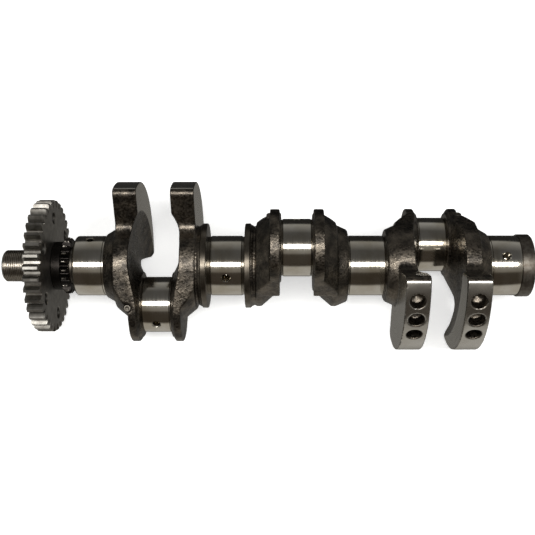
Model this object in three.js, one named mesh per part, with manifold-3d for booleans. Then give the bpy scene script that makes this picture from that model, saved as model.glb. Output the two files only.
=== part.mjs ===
// Three-throw forged crankshaft with its drive gear and chain sprocket on the nose.
// Millimetres. X runs along the main bearing axis, the middle crankpin stands straight up (+Z), and the
// shaft lies on the lower corners of its counterweights. Angles are in degrees about +X, from +Y to +Z.
import * as THREE from "three";
import { mergeVertices } from "three/addons/utils/BufferGeometryUtils.js";
import Module from "manifold-3d";

const wasm = await Module();
wasm.setup();

// ---- Driving dimensions -------------------------------------------------------------------------

const stroke = 63.4;
const throwRadius = stroke / 2;
const cylinderSpacing = 112;
const pinAngles = [210, 90, -30];

const mainRadius = 24.25;
const mainGap = 30; // between the shoulders on both sides of an inner main journal
const pinRadius = 22.5;
const pinGap = 24; // between the pin shoulders of one throw
const neckDepth = 0.6; // depth of the rolled fillet grooves at the journal ends
const journalChamfer = 1.6;

// Width of the rolled groove at each end of each journal.
const mainGrooves = [1.6, 2.7, 1.5, 1.6];
const pinGroove = 1.4;

const firstMainLength = 25; // the outer journals end at a turned edge instead of a shoulder
const lastMainLength = 24.3;
const flangeLength = 10;
const flangeStep = 0.95; // how far the turned flange stands above the last main journal
const flangeBoltCircle = 34;
const flangeBolts = 6;
const flangeBoltRadius = 3.4;
const flangeBoltDepth = 6;
const flangeBoltChamfer = 0.5;
const centreDrillRadius = 4;
const centreDrillDepth = 6;
const centreDrillChamfer = 1.2;

// Crank web: all offsets are measured along the shaft from the middle of the crankpin.
const pinShoulderHeight = 4; // shoulder round a crankpin, above the pin
const pinShoulderStep = 1.2; // the same shoulder, above the face of the web
const pinEndWall = 3.5; // from that shoulder to the round end of the web
const tipThickness = 7.6; // what the main-side scoop leaves of the web at its tip
const scoopFootMargin = 1.9; // where the scoop leaves the web's face, past the round about the main axis
const scoopBrinkMargin = 4; // past the same round, where its cone grows flatter
const scoopBrinkDepth = 2.6;
const scoopFloorMargin = 11; // past the same round, where it has reached the tip's thickness
const scoopSide = 6; // the scoop lies further than this towards the pin from the main axis
const recessDepth = 6.8; // ring-shaped trough round the pin, on the pin side of a counterweighted web
const recessWidth = 50;
const heelHeight = 13; // bevel turned on the heel of a web without a counterweight
const heelLength = 15;
const heelSide = 10; // the bevel ends this far towards the pin from the main axis

const bossHeight = 5.15; // end of the boss beside an inner main journal, above the journal
const outerBossHeight = 1.65; // end of the boss beside an outer main journal, above the journal
const bossLength = 9; // from the web to the journal
const bossRootInset = 2; // root of an outer boss, and of one that carries a thrust collar
const bossChamfer = 0.9;
const outerBossChamfer = 0.4;
const hubWall = 3.6; // from the end of an inner boss to the round of the web about the main axis
const thrustCollarHeight = 4.9; // thrust collar above the end of an inner boss
const thrustCollarLength = 5;

// Counterweight: a slab with a round rim about the main axis.
const rimRadius = 68;
const rimHalfSpan = 57;
const rimCorner = 5;
const rootFillet = 8;
const counterweightAngles = [0, null, 180];
const splitDistance = 18; // plane between a web and its counterweight, from the main axis
const rootDepth = 2; // how far a shoulder is rooted in its web
const recessMargin = 0.5; // from the shoulder of the pin to the trough
const recessSteps = 8; // segments of the trough's arc

// Balance drillings in the rims of the last throw's counterweights.
const balanceRadius = 5.75;
const balanceDepth = 9;
const balancedThrow = 2;
const balanceHoles = 3;
const balanceMiddle = 153.5;
const balanceSpacing = 13.9;
const balanceChamfer = 0.8;

const oilRadius = 2.8;
const oilDepth = 11;
const oilChamfer = 1;
const mainOilAngles = [56, 141, 236, 98.5];
const pinOilLead = -50; // the oil hole of a crankpin, from the direction of its throw
const plugRadius = 3;
const plugLength = 5;
const plugInset = 7.8; // from the pin-side face of the web to the middle of its plug
const plugSeatChamfer = 0.1;
const plugSides = [-1, -1, 1]; // which web of each throw holds the plug
const plugFlanks = [-90, -90, 90]; // which flank of the throw it is in

// Nose: thread, gear, spacer collar and chain sprocket, from the first main journal outwards.
const seatRadius = 15;
const sprocketStandoff = 3.5;
const sprocketWidth = 6.5;
const sprocketWall = 1.3; // least wall between the keyway and the roots of the teeth
const chainPitch = 6.35;
const sprocketToothRise = 2.6;
const sprocketToothFall = 1.6;
const collarWidth = 7.8;
const collarWall = 2.6; // wall of the collar over the key
const gearWidth = 12.7;
const gearTeeth = 37;
const gearModule = 2.75;
const gearDedendum = 1.25; // depth of a tooth below the pitch circle, in modules
const gearToothPhase = 98.7;
const gearHoles = 6;
const gearHoleRadius = 4.6;
const gearHoleInset = 11.575; // from the pitch circle to the middle of a hole
const gearHolePhase = 37;
const threadLength = 28.8;
const threadRadius = 12.9;
const threadChamfer = 1.8;
const threadRelief = 2.4;
const threadReliefDepth = 1.2;

const keyWidth = 6;
const keyHeight = 4.5;
const keySeatDepth = 2.5;
const keyInset = 1.5;

// Half the thickness of a tooth at its root, pitch line and tip, as shares of the angle from tooth to tooth.
const gearTooth = { root: 0.36, pitch: 0.25, tip: 0.12 };
const sprocketTooth = { root: 0.3, pitch: 0.24, tip: 0.12 };

const fitGap = 0.3; // drawn gap between pieces that are pressed or keyed together
const cutMargin = 1; // how far a cutter runs past what it cuts
const round = 40; // segments of a turned surface
const smallRound = 12;
const arcSegments = 8; // half the segments of one arc of an outline

// ---- Places that follow from them ---------------------------------------------------------------

const pinX = pinAngles.map((_, i) => (i - 1) * cylinderSpacing);
const shoulderOffset = (cylinderSpacing - mainGap) / 2;
const pinShoulderRadius = pinRadius + pinShoulderHeight;
const pinEndRadius = pinShoulderRadius + pinEndWall; // round end of the web about the crankpin
const bossRadius = mainRadius + bossHeight;
const hubRadius = bossRadius + hubWall; // round of the web about the main axis
const thrustCollarRadius = bossRadius + thrustCollarHeight;
const flangeRadius = mainRadius + flangeStep;
const webPinOffset = pinGap / 2 + pinShoulderStep; // pin-side face of the web and of its counterweight
const webOuterOffset = shoulderOffset - bossLength; // their main-side face
const firstMainStart = pinX[0] - shoulderOffset - firstMainLength;
const lastMainEnd = pinX[2] + shoulderOffset + lastMainLength;
const mainSpans = [
  [firstMainStart, pinX[0] - shoulderOffset],
  [pinX[0] + shoulderOffset, pinX[1] - shoulderOffset],
  [pinX[1] + shoulderOffset, pinX[2] - shoulderOffset],
  [pinX[2] + shoulderOffset, lastMainEnd],
];
const sprocketEnd = firstMainStart - sprocketStandoff;
const sprocketStart = sprocketEnd - sprocketWidth;
const collarStart = sprocketStart - collarWidth;
const gearStart = collarStart - gearWidth;
const noseEnd = gearStart - threadLength;
const boreRadius = seatRadius + fitGap;
const keyTop = seatRadius - keySeatDepth + keyHeight;
const collarRadius = keyTop + collarWall;
const leastSprocketPitchRadius = keyTop + fitGap + sprocketWall + sprocketToothFall;
const sprocketTeeth = Math.ceil(Math.PI / Math.asin(chainPitch / (2 * leastSprocketPitchRadius)));
const gearPitchRadius = (gearModule * gearTeeth) / 2;

// ---- Helpers ------------------------------------------------------------------------------------

const rad = THREE.MathUtils.degToRad;

function polar(radius, angle) {
  return new THREE.Vector2(radius * Math.cos(rad(angle)), radius * Math.sin(rad(angle)));
}

// A closed three.js geometry as a manifold solid.
function solid(geometry) {
  const bare = new THREE.BufferGeometry();
  bare.setAttribute("position", geometry.getAttribute("position"));
  bare.setIndex(geometry.getIndex());
  const merged = mergeVertices(bare, 1e-4);
  const index = merged.getIndex().array;
  const triangles = [];
  for (let i = 0; i < index.length; i += 3) {
    const [a, b, c] = index.slice(i, i + 3);
    if (a !== b && b !== c && c !== a) triangles.push(a, b, c);
  }
  const mesh = new wasm.Mesh({
    numProp: 3,
    vertProperties: new Float32Array(merged.getAttribute("position").array),
    triVerts: new Uint32Array(triangles),
  });
  return new wasm.Manifold(mesh);
}

// A manifold solid as a flat-shaded three.js geometry.
function geometryOf(body) {
  const mesh = body.getMesh();
  const indexed = new THREE.BufferGeometry();
  indexed.setAttribute("position", new THREE.BufferAttribute(new Float32Array(mesh.vertProperties), 3));
  indexed.setIndex(new THREE.BufferAttribute(new Uint32Array(mesh.triVerts), 1));
  const flat = indexed.toNonIndexed();
  flat.computeVertexNormals();
  return flat;
}

// A solid of revolution about the shaft, from [x, radius] points that start and end on the axis.
function turned(profile, segments = round) {
  const ordered = profile[0][0] < profile[profile.length - 1][0] ? profile : [...profile].reverse();
  const points = ordered.map(([x, r]) => new THREE.Vector2(r, x));
  const lathe = new THREE.LatheGeometry(points, segments);
  lathe.rotateZ(-Math.PI / 2);
  return solid(lathe);
}

// A ring turned about the shaft, from the [x, radius] corners of its section.
function turnedRing(section, segments = round) {
  const points = section.map(([x, r]) => new THREE.Vector2(r, x));
  if (THREE.ShapeUtils.area(points) < 0) points.reverse();
  const lathe = new THREE.LatheGeometry([...points, points[0].clone()], segments);
  lathe.rotateZ(-Math.PI / 2);
  return solid(lathe);
}

// A shape drawn in the plane of Y and Z, extruded along the shaft between two stations.
function alongShaft(shape, xa, xb, curveSegments = arcSegments) {
  const geometry = new THREE.ExtrudeGeometry(shape, {
    depth: Math.abs(xb - xa),
    bevelEnabled: false,
    curveSegments,
  });
  const toShaft = new THREE.Matrix4().makeBasis(
    new THREE.Vector3(0, 1, 0),
    new THREE.Vector3(0, 0, 1),
    new THREE.Vector3(1, 0, 0),
  );
  geometry.applyMatrix4(toShaft);
  geometry.translate(Math.min(xa, xb), 0, 0);
  return solid(geometry);
}

// A block as long as one throw, between two distances from the main axis in the direction of its pin.
function throwBlock(i, from, to) {
  const geometry = new THREE.BoxGeometry(cylinderSpacing, to - from, 4 * rimRadius);
  geometry.translate(pinX[i], (from + to) / 2, 0);
  geometry.rotateX(rad(pinAngles[i]));
  return solid(geometry);
}

function circle(x, y, radius) {
  const shape = new THREE.Shape();
  shape.absarc(x, y, radius, 0, 2 * Math.PI, false);
  return shape;
}

function box(x0, x1, y0, y1, z0, z1) {
  const geometry = new THREE.BoxGeometry(x1 - x0, y1 - y0, z1 - z0);
  geometry.translate((x0 + x1) / 2, (y0 + y1) / 2, (z0 + z1) / 2);
  return solid(geometry);
}

// A drilled hole with a chamfered mouth: it starts just outside the surface at `mouth` and runs inwards.
function drilling(mouth, direction, radius, depth, chamfer) {
  const outside = 3;
  const points = [
    [-outside, 0],
    [-outside, radius + chamfer + outside],
    [chamfer, radius],
    [depth, radius],
    [depth + radius * 0.6, 0],
  ];
  const lathe = new THREE.LatheGeometry(
    points.map(([down, r]) => new THREE.Vector2(r, down)),
    smallRound,
  );
  const turn = new THREE.Quaternion().setFromUnitVectors(new THREE.Vector3(0, 1, 0), direction);
  lathe.applyQuaternion(turn);
  lathe.translate(mouth.x, mouth.y, mouth.z);
  return solid(lathe);
}

// A radial drilling into a round surface whose axis runs along the shaft through `centre`.
function radialDrilling(x, centre, surfaceRadius, angle, radius, depth, chamfer) {
  const out = polar(1, angle);
  const mouth = new THREE.Vector3(x, centre.x + out.x * surfaceRadius, centre.y + out.y * surfaceRadius);
  return drilling(mouth, new THREE.Vector3(0, -out.x, -out.y), radius, depth, chamfer);
}

// ---- Finishes -----------------------------------------------------------------------------------

function finish(color, roughness, metalness) {
  return new THREE.MeshStandardMaterial({ color, roughness, metalness });
}

const groundSteel = finish(0xb9b4aa, 0.18, 1);
const forgedSteel = finish(0x3d3a36, 0.55, 0.9);
const machinedSteel = finish(0xa39f98, 0.38, 1);
const gearSteel = finish(0x6f6c68, 0.4, 1);
const blackSteel = finish(0x1d1c1c, 0.42, 0.9);
const darkTurnedSteel = finish(0x5a5751, 0.5, 0.95);
const threadSteel = finish(0x75716b, 0.38, 1);
const plugSteel = finish(0x8d8a85, 0.3, 1);

const crankshaft = new THREE.Group();

function add(name, body, material) {
  const mesh = new THREE.Mesh(geometryOf(body), material);
  mesh.name = name;
  crankshaft.add(mesh);
}

// ---- Journals -----------------------------------------------------------------------------------

// A ground journal between two stations, with a rolled groove at each end that meets a shoulder.
function journal(x0, x1, radius, leftGroove, rightGroove) {
  const neck = radius - neckDepth;
  const left = leftGroove
    ? [[x0, neck], [x0 + leftGroove - neckDepth, neck], [x0 + leftGroove, radius]]
    : [[x0, radius - journalChamfer], [x0 + journalChamfer, radius]];
  const right = rightGroove
    ? [[x1 - rightGroove, radius], [x1 - rightGroove + neckDepth, neck], [x1, neck]]
    : [[x1, radius]];
  return turned([[x0, 0], ...left, ...right, [x1, 0]]);
}

function mainJournal(i) {
  const [x0, x1] = mainSpans[i];
  const groove = mainGrooves[i];
  const leftGroove = i === 0 ? 0 : groove;
  const rightGroove = i === mainSpans.length - 1 ? 0 : groove;
  const body = journal(x0, x1, mainRadius, leftGroove, rightGroove);
  const hole = radialDrilling(
    (x0 + x1) / 2,
    new THREE.Vector2(0, 0),
    mainRadius,
    mainOilAngles[i],
    oilRadius,
    oilDepth,
    oilChamfer,
  );
  return body.subtract(hole);
}

function crankpin(i) {
  const centre = polar(throwRadius, pinAngles[i]);
  const x0 = pinX[i] - pinGap / 2;
  const x1 = pinX[i] + pinGap / 2;
  const straight = journal(x0, x1, pinRadius, pinGroove, pinGroove);
  const body = straight.translate([0, centre.x, centre.y]);
  const hole = radialDrilling(
    pinX[i],
    centre,
    pinRadius,
    pinAngles[i] + pinOilLead,
    oilRadius,
    oilDepth,
    oilChamfer,
  );
  return body.subtract(hole);
}

mainSpans.forEach((_, i) => add("main_journal_" + (i + 1), mainJournal(i), groundSteel));
pinAngles.forEach((_, i) => add("crankpin_" + (i + 1), crankpin(i), groundSteel));

// ---- Webs and counterweights --------------------------------------------------------------------

// Outline of a web: the round about the main axis and the round about the pin, joined by tangents.
function webOutline(pinAngle) {
  const spread = THREE.MathUtils.radToDeg(Math.acos((hubRadius - pinEndRadius) / throwRadius));
  const centre = polar(throwRadius, pinAngle);
  const shape = new THREE.Shape();
  shape.absarc(centre.x, centre.y, pinEndRadius, rad(pinAngle - spread), rad(pinAngle + spread), false);
  shape.absarc(0, 0, hubRadius, rad(pinAngle + spread), rad(pinAngle - spread + 360), false);
  shape.closePath();
  return shape;
}

// Outline of a counterweight: a sector with rounded corners and hollow fillets at its root.
function fanOutline(angle) {
  const deg = THREE.MathUtils.radToDeg;
  const filletTurn = deg(Math.asin(rootFillet / (hubRadius + rootFillet)));
  const filletCentre = hubRadius + rootFillet;
  const cornerCentre = rimRadius - rimCorner;
  const cornerTurn = deg(Math.asin(rimCorner / cornerCentre));
  const low = angle - rimHalfSpan;
  const high = angle + rimHalfSpan;
  const shape = new THREE.Shape();
  shape.moveTo(0, 0);
  const lowFillet = polar(filletCentre, low - filletTurn);
  shape.absarc(
    lowFillet.x,
    lowFillet.y,
    rootFillet,
    rad(low - filletTurn + 180),
    rad(low + 90),
    true,
  );
  const lowCorner = polar(cornerCentre, low + cornerTurn);
  shape.absarc(lowCorner.x, lowCorner.y, rimCorner, rad(low - 90), rad(low + cornerTurn), false);
  shape.absarc(0, 0, rimRadius, rad(low + cornerTurn), rad(high - cornerTurn), false);
  const highCorner = polar(cornerCentre, high - cornerTurn);
  shape.absarc(highCorner.x, highCorner.y, rimCorner, rad(high - cornerTurn), rad(high + 90), false);
  const highFillet = polar(filletCentre, high + filletTurn);
  shape.absarc(
    highFillet.x,
    highFillet.y,
    rootFillet,
    rad(high - 90),
    rad(high + filletTurn - 180),
    true,
  );
  shape.closePath();
  return shape;
}

// Section of the trough, turned about the crankpin: an arc that bites `recessDepth` into the web.
function recessSection(station) {
  const inner = pinShoulderRadius + recessMargin;
  const middle = inner + recessWidth / 2;
  const radius = (recessWidth * recessWidth / 4 + recessDepth * recessDepth) / (2 * recessDepth);
  const halfTurn = Math.asin(recessWidth / 2 / radius);
  const section = [
    [station(webPinOffset - cutMargin), inner + recessWidth],
    [station(webPinOffset - cutMargin), inner],
  ];
  for (let k = 0; k <= recessSteps; k += 1) {
    const turn = halfTurn * ((2 * k) / recessSteps - 1);
    const depth = recessDepth - radius + radius * Math.cos(turn);
    section.push([station(webPinOffset + depth), middle + radius * Math.sin(turn)]);
  }
  return section;
}

// The dish on the main side of a web, turned about the main axis: it leaves a thin tip round the crankpin.
function scoop(i, side) {
  const station = (offset) => pinX[i] + side * offset;
  const tip = throwRadius + pinEndRadius + cutMargin;
  const floor = station(webPinOffset + tipThickness);
  const dish = turnedRing([
    [station(webOuterOffset + cutMargin), hubRadius + scoopFootMargin],
    [station(webOuterOffset), hubRadius + scoopFootMargin],
    [station(webOuterOffset - scoopBrinkDepth), hubRadius + scoopBrinkMargin],
    [floor, hubRadius + scoopFloorMargin],
    [floor, tip],
    [station(webOuterOffset + cutMargin), tip],
  ]);
  return dish.intersect(throwBlock(i, scoopSide, tip));
}

// The bevel turned on the pin side of a web without a counterweight, away from the pin.
function heel(i, side) {
  const station = (offset) => pinX[i] + side * offset;
  const outside = hubRadius + cutMargin;
  const bevel = turnedRing([
    [station(webPinOffset - cutMargin), hubRadius - heelHeight],
    [station(webPinOffset), hubRadius - heelHeight],
    [station(webPinOffset + heelLength), hubRadius],
    [station(webPinOffset + heelLength), outside],
    [station(webPinOffset - cutMargin), outside],
  ]);
  return bevel.intersect(throwBlock(i, -outside, heelSide));
}

function web(i, side) {
  const pinAngle = pinAngles[i];
  const fanAngle = counterweightAngles[i];
  const station = (offset) => pinX[i] + side * offset;
  const pinCentre = polar(throwRadius, pinAngle);

  let body = alongShaft(webOutline(pinAngle), station(webPinOffset), station(webOuterOffset));
  body = body.subtract(scoop(i, side));
  if (fanAngle === null) {
    body = body.subtract(heel(i, side));
  } else {
    body = body.add(alongShaft(fanOutline(fanAngle), station(webPinOffset), station(webOuterOffset)));
    const trough = turnedRing(recessSection(station)).translate([0, pinCentre.x, pinCentre.y]);
    body = body.subtract(trough);
  }
  return body;
}

// What stands on the web's two faces: the shoulder round the crankpin and the boss beside the main journal.
function webShoulders(i, side) {
  const station = (offset) => pinX[i] + side * offset;
  const pinFace = pinGap / 2;
  const pinCentre = polar(throwRadius, pinAngles[i]);
  const pinShoulder = alongShaft(
    circle(pinCentre.x, pinCentre.y, pinShoulderRadius),
    station(pinFace),
    station(pinFace + pinShoulderStep + rootDepth),
    round / 2,
  );
  const profile = [
    [station(webOuterOffset), 0],
    ...bossOutline(i, side).map(([offset, radius]) => [station(offset), radius]),
  ];
  profile.push([profile[profile.length - 1][0], 0]);
  const root = alongShaft(
    circle(0, 0, splitDistance - rootDepth),
    station(webOuterOffset - rootDepth),
    station(webOuterOffset + rootDepth),
  );
  return pinShoulder.add(turned(profile)).add(root);
}

// Outline of the boss beside a main journal, as [offset, radius] points from the web to its end.
function bossOutline(i, side) {
  if (hasThrustCollar(i, side)) {
    return [
      [webOuterOffset, hubRadius - bossRootInset],
      [shoulderOffset - thrustCollarLength, thrustCollarRadius - bossChamfer],
    ];
  }
  const outer = (i === 0 && side < 0) || (i === pinAngles.length - 1 && side > 0);
  const chamfer = outer ? outerBossChamfer : bossChamfer;
  const end = mainRadius + (outer ? outerBossHeight : bossHeight);
  return [
    [webOuterOffset, outer ? hubRadius - bossRootInset : hubRadius],
    [shoulderOffset - chamfer, end],
    [shoulderOffset, end - chamfer],
  ];
}

// The second main bearing carries the end thrust, so the webs on both sides of it have wide collars.
function hasThrustCollar(i, side) {
  return (i === 0 && side > 0) || (i === 1 && side < 0);
}

function thrustCollar(i, side) {
  const station = (offset) => pinX[i] + side * offset;
  const inner = station(shoulderOffset - thrustCollarLength);
  const outer = station(shoulderOffset);
  return turned([
    [inner, 0],
    [inner, thrustCollarRadius - bossChamfer],
    [inner + side * bossChamfer, thrustCollarRadius],
    [outer - side * bossChamfer / 2, thrustCollarRadius],
    [outer, thrustCollarRadius - bossChamfer / 2],
    [outer, 0],
  ]);
}

// Blind drilling in the flank of a web, closed by a pressed-in steel plug, where the oil way was drilled.
function plugSeat(i, side) {
  const out = polar(1, pinAngles[i] + plugFlanks[i]);
  const mouth = plugPlace(i, side, 0);
  const depth = plugLength + 2 * fitGap;
  return drilling(
    mouth,
    new THREE.Vector3(0, -out.x, -out.y),
    plugRadius + fitGap,
    depth,
    plugSeatChamfer,
  );
}

// A point on the line of the plug, some depth below the flank of the web beside the crankpin.
function plugPlace(i, side, depth) {
  const slope = Math.asin((hubRadius - pinEndRadius) / throwRadius);
  const surface = (hubRadius - throwRadius * Math.sin(slope)) / Math.cos(slope);
  const along = polar(throwRadius, pinAngles[i]);
  const out = polar(surface - depth, pinAngles[i] + plugFlanks[i]);
  return new THREE.Vector3(
    pinX[i] + side * (webPinOffset + plugInset),
    along.x + out.x,
    along.y + out.y,
  );
}

function oilPlug(i, side) {
  const out = polar(1, pinAngles[i] + plugFlanks[i]);
  const middle = plugPlace(i, side, plugLength / 2 + fitGap);
  const geometry = new THREE.CylinderGeometry(plugRadius, plugRadius, plugLength, smallRound);
  const turn = new THREE.Quaternion().setFromUnitVectors(
    new THREE.Vector3(0, 1, 0),
    new THREE.Vector3(0, out.x, out.y),
  );
  geometry.applyQuaternion(turn);
  geometry.translate(middle.x, middle.y, middle.z);
  return solid(geometry);
}

// Blind drillings in the rim of a counterweight that bring the shaft into balance.
function balanced(weight, middle) {
  let body = weight;
  for (let k = 0; k < balanceHoles; k += 1) {
    const angle = balanceMiddle + (k - (balanceHoles - 1) / 2) * balanceSpacing;
    const hole = radialDrilling(
      middle,
      new THREE.Vector2(0, 0),
      rimRadius,
      angle,
      balanceRadius,
      balanceDepth,
      balanceChamfer,
    );
    body = body.subtract(hole);
  }
  return body;
}

pinAngles.forEach((_, i) => {
  [-1, 1].forEach((side) => {
    const number = 2 * i + (side > 0 ? 2 : 1);
    const fanAngle = counterweightAngles[i];
    let forging = web(i, side);
    if (plugSides[i] === side) {
      forging = forging.subtract(plugSeat(i, side));
      add("oil_plug_" + (i + 1), oilPlug(i, side), plugSteel);
    }
    if (fanAngle !== null) {
      const outward = fanAngle === 0 ? 1 : -1;
      const near = outward * splitDistance;
      const far = outward * 2 * rimRadius;
      const reach = 2 * rimRadius;
      const slab = box(
        pinX[i] - cylinderSpacing / 2,
        pinX[i] + cylinderSpacing / 2,
        Math.min(near, far),
        Math.max(near, far),
        -reach,
        reach,
      );
      let weight = forging.intersect(slab);
      if (i === balancedThrow) {
        weight = balanced(weight, pinX[i] + (side * (webPinOffset + webOuterOffset)) / 2);
      }
      add("counterweight_" + number, weight, machinedSteel);
      forging = forging.subtract(slab);
    }
    forging = forging.add(webShoulders(i, side));
    add("web_" + number, forging, forgedSteel);
    if (hasThrustCollar(i, side)) {
      add(side > 0 ? "thrust_collar_left" : "thrust_collar_right", thrustCollar(i, side), darkTurnedSteel);
    }
  });
});

// ---- Output end ---------------------------------------------------------------------------------

function outputFlange() {
  const x0 = lastMainEnd;
  const x1 = x0 + flangeLength;
  let body = turned([
    [x0, 0],
    [x0, flangeRadius],
    [x1 - bossChamfer, flangeRadius],
    [x1, flangeRadius - bossChamfer],
    [x1, 0],
  ]);
  const inwards = new THREE.Vector3(-1, 0, 0);
  body = body.subtract(
    drilling(
      new THREE.Vector3(x1, 0, 0),
      inwards,
      centreDrillRadius,
      centreDrillDepth,
      centreDrillChamfer,
    ),
  );
  for (let k = 0; k < flangeBolts; k += 1) {
    const place = polar(flangeBoltCircle / 2, (k * 360) / flangeBolts);
    const mouth = new THREE.Vector3(x1, place.x, place.y);
    const hole = drilling(mouth, inwards, flangeBoltRadius, flangeBoltDepth, flangeBoltChamfer);
    body = body.subtract(hole);
  }
  return body;
}

add("output_flange", outputFlange(), darkTurnedSteel);

// ---- Nose ---------------------------------------------------------------------------------------

function noseThread() {
  const x0 = noseEnd;
  const x1 = gearStart;
  const root = threadRadius - threadReliefDepth;
  return turned([
    [x0, 0],
    [x0, threadRadius - threadChamfer],
    [x0 + threadChamfer, threadRadius],
    [x1 - threadRelief, threadRadius],
    [x1 - threadRelief, root],
    [x1, root],
    [x1, 0],
  ]);
}

// The key sits in the shaft's seat and in the bores of what it drives, at the top of the shaft.
function keyBlock(grow) {
  return box(
    gearStart + keyInset - grow,
    sprocketEnd - keyInset + grow,
    -keyWidth / 2 - grow,
    keyWidth / 2 + grow,
    seatRadius - keySeatDepth - grow,
    keyTop + grow,
  );
}

function noseSeat() {
  const shaft = turned([
    [gearStart, 0],
    [gearStart, seatRadius],
    [firstMainStart, seatRadius],
    [firstMainStart, 0],
  ]);
  return shaft.subtract(keyBlock(fitGap));
}

// A ring on the nose seat, from an outline in the plane of Y and Z, with the shaft's bore and keyway.
function noseRing(outline, x0, x1) {
  const body = alongShaft(outline, x0, x1, round / 2);
  const bore = alongShaft(circle(0, 0, boreRadius), x0 - cutMargin, x1 + cutMargin, round / 2);
  const way = box(
    x0 - cutMargin,
    x1 + cutMargin,
    -keyWidth / 2 - fitGap,
    keyWidth / 2 + fitGap,
    0,
    keyTop + fitGap,
  );
  return body.subtract(bore.add(way));
}

// A toothed outline: each tooth is a root, two flanks bent at the pitch line, and a tip land.
function toothedOutline(teeth, rootRadius, pitchRadius, tipRadius, tooth, phase) {
  const pitch = 360 / teeth;
  const corners = [
    [rootRadius, -tooth.root],
    [pitchRadius, -tooth.pitch],
    [tipRadius, -tooth.tip],
    [tipRadius, tooth.tip],
    [pitchRadius, tooth.pitch],
    [rootRadius, tooth.root],
  ];
  const points = [];
  for (let k = 0; k < teeth; k += 1) {
    corners.forEach(([radius, share]) => {
      points.push(polar(radius, phase + (k + share) * pitch));
    });
  }
  return new THREE.Shape(points);
}

function driveGear() {
  const tipRadius = gearPitchRadius + gearModule;
  const rootRadius = gearPitchRadius - gearDedendum * gearModule;
  const x0 = gearStart;
  const x1 = gearStart + gearWidth;
  const outline = toothedOutline(
    gearTeeth,
    rootRadius,
    gearPitchRadius,
    tipRadius,
    gearTooth,
    gearToothPhase,
  );
  let body = noseRing(outline, x0, x1);
  for (let k = 0; k < gearHoles; k += 1) {
    const place = polar(gearPitchRadius - gearHoleInset, gearHolePhase + (k * 360) / gearHoles);
    const hole = circle(place.x, place.y, gearHoleRadius);
    body = body.subtract(alongShaft(hole, x0 - cutMargin, x1 + cutMargin));
  }
  return body;
}

function timingSprocket() {
  const pitchRadius = chainPitch / (2 * Math.sin(Math.PI / sprocketTeeth));
  const outline = toothedOutline(
    sprocketTeeth,
    pitchRadius - sprocketToothFall,
    pitchRadius,
    pitchRadius + sprocketToothRise,
    sprocketTooth,
    0,
  );
  return noseRing(outline, sprocketStart, sprocketEnd);
}

function spacerCollar() {
  return noseRing(circle(0, 0, collarRadius), collarStart, sprocketStart);
}

add("nose_thread", noseThread(), threadSteel);
add("nose_seat", noseSeat(), darkTurnedSteel);
add("drive_gear", driveGear(), gearSteel);
add("spacer_collar", spacerCollar(), blackSteel);
add("timing_sprocket", timingSprocket(), blackSteel);
add("drive_key", keyBlock(0), plugSteel);

// ---- Place the shaft on its bench: centred in X and Y, lying on Z = 0 -----------------------------

const extent = new THREE.Box3().setFromObject(crankshaft, true);
crankshaft.position.set(
  -(extent.min.x + extent.max.x) / 2,
  -(extent.min.y + extent.max.y) / 2,
  -extent.min.z,
);

export default crankshaft;
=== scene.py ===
# %% [markdown]
# # A three-throw forged crankshaft, with its drive gear and chain sprocket
#
# The shaft comes in as a CAD frame whose pieces are faceted. This lesson makes each of them again as a
# smooth piece with a real finish: ground journals, forged webs, turned counterweights, a toothed gear, a
# black sprocket and a threaded nose. Places and main sizes are read from the frame, and only the small
# details that the CAD boxes can't tell are written here.

# %% Load the frame
import math
import bmesh
import bpy
from mathutils import Matrix, Vector


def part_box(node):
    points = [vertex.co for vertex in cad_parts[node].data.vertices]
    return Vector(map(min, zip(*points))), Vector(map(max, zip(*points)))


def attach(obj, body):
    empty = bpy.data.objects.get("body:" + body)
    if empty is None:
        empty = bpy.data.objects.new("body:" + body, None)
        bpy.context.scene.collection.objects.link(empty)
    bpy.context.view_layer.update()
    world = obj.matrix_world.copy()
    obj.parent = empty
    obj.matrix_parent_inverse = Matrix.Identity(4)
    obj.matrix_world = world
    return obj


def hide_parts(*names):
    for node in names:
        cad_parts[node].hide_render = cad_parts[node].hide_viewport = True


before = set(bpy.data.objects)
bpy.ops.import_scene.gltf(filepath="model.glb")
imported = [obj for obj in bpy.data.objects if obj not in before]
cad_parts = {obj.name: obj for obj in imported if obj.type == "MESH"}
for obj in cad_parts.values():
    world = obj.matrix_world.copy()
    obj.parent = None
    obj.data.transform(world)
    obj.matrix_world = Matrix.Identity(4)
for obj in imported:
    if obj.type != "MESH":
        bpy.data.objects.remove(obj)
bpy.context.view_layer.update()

# %% [markdown]
# ## Units and places
#
# A workshop drawing is in millimetres and Blender is in metres, so every size is written in millimetres and
# multiplied by one constant. The shaft's axis, the stations along it and the middles of the crankpins all
# come from the boxes of the CAD nodes, so the looks stay on the frame if the design changes.

# %% Units and places
MM = 0.001


def middle(node):
    low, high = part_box(node)
    return (Vector(low) + Vector(high)) / 2


def span(node):
    low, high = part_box(node)
    return low[0], high[0]


def radius_of(node):
    low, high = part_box(node)
    return (high[2] - low[2]) / 2


AXIS = middle("main_journal_2")
AXIS.x = 0.0
MAINS = [f"main_journal_{n}" for n in (1, 2, 3, 4)]
PINS = [f"crankpin_{n}" for n in (1, 2, 3)]
THROW = (middle("crankpin_2") - AXIS).z
print(f"axis height {AXIS.z / MM:.1f} mm, throw {THROW / MM:.2f} mm")

# %% [markdown]
# ## The camera
#
# The shaft is seen from above and in front, a little turned and a little rolled. An orbit says that best: a
# point to look at on the shaft, a distance, an azimuth, an elevation and a roll. The lens follows from the
# focal length in image widths, so nothing needs shifting.

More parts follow.
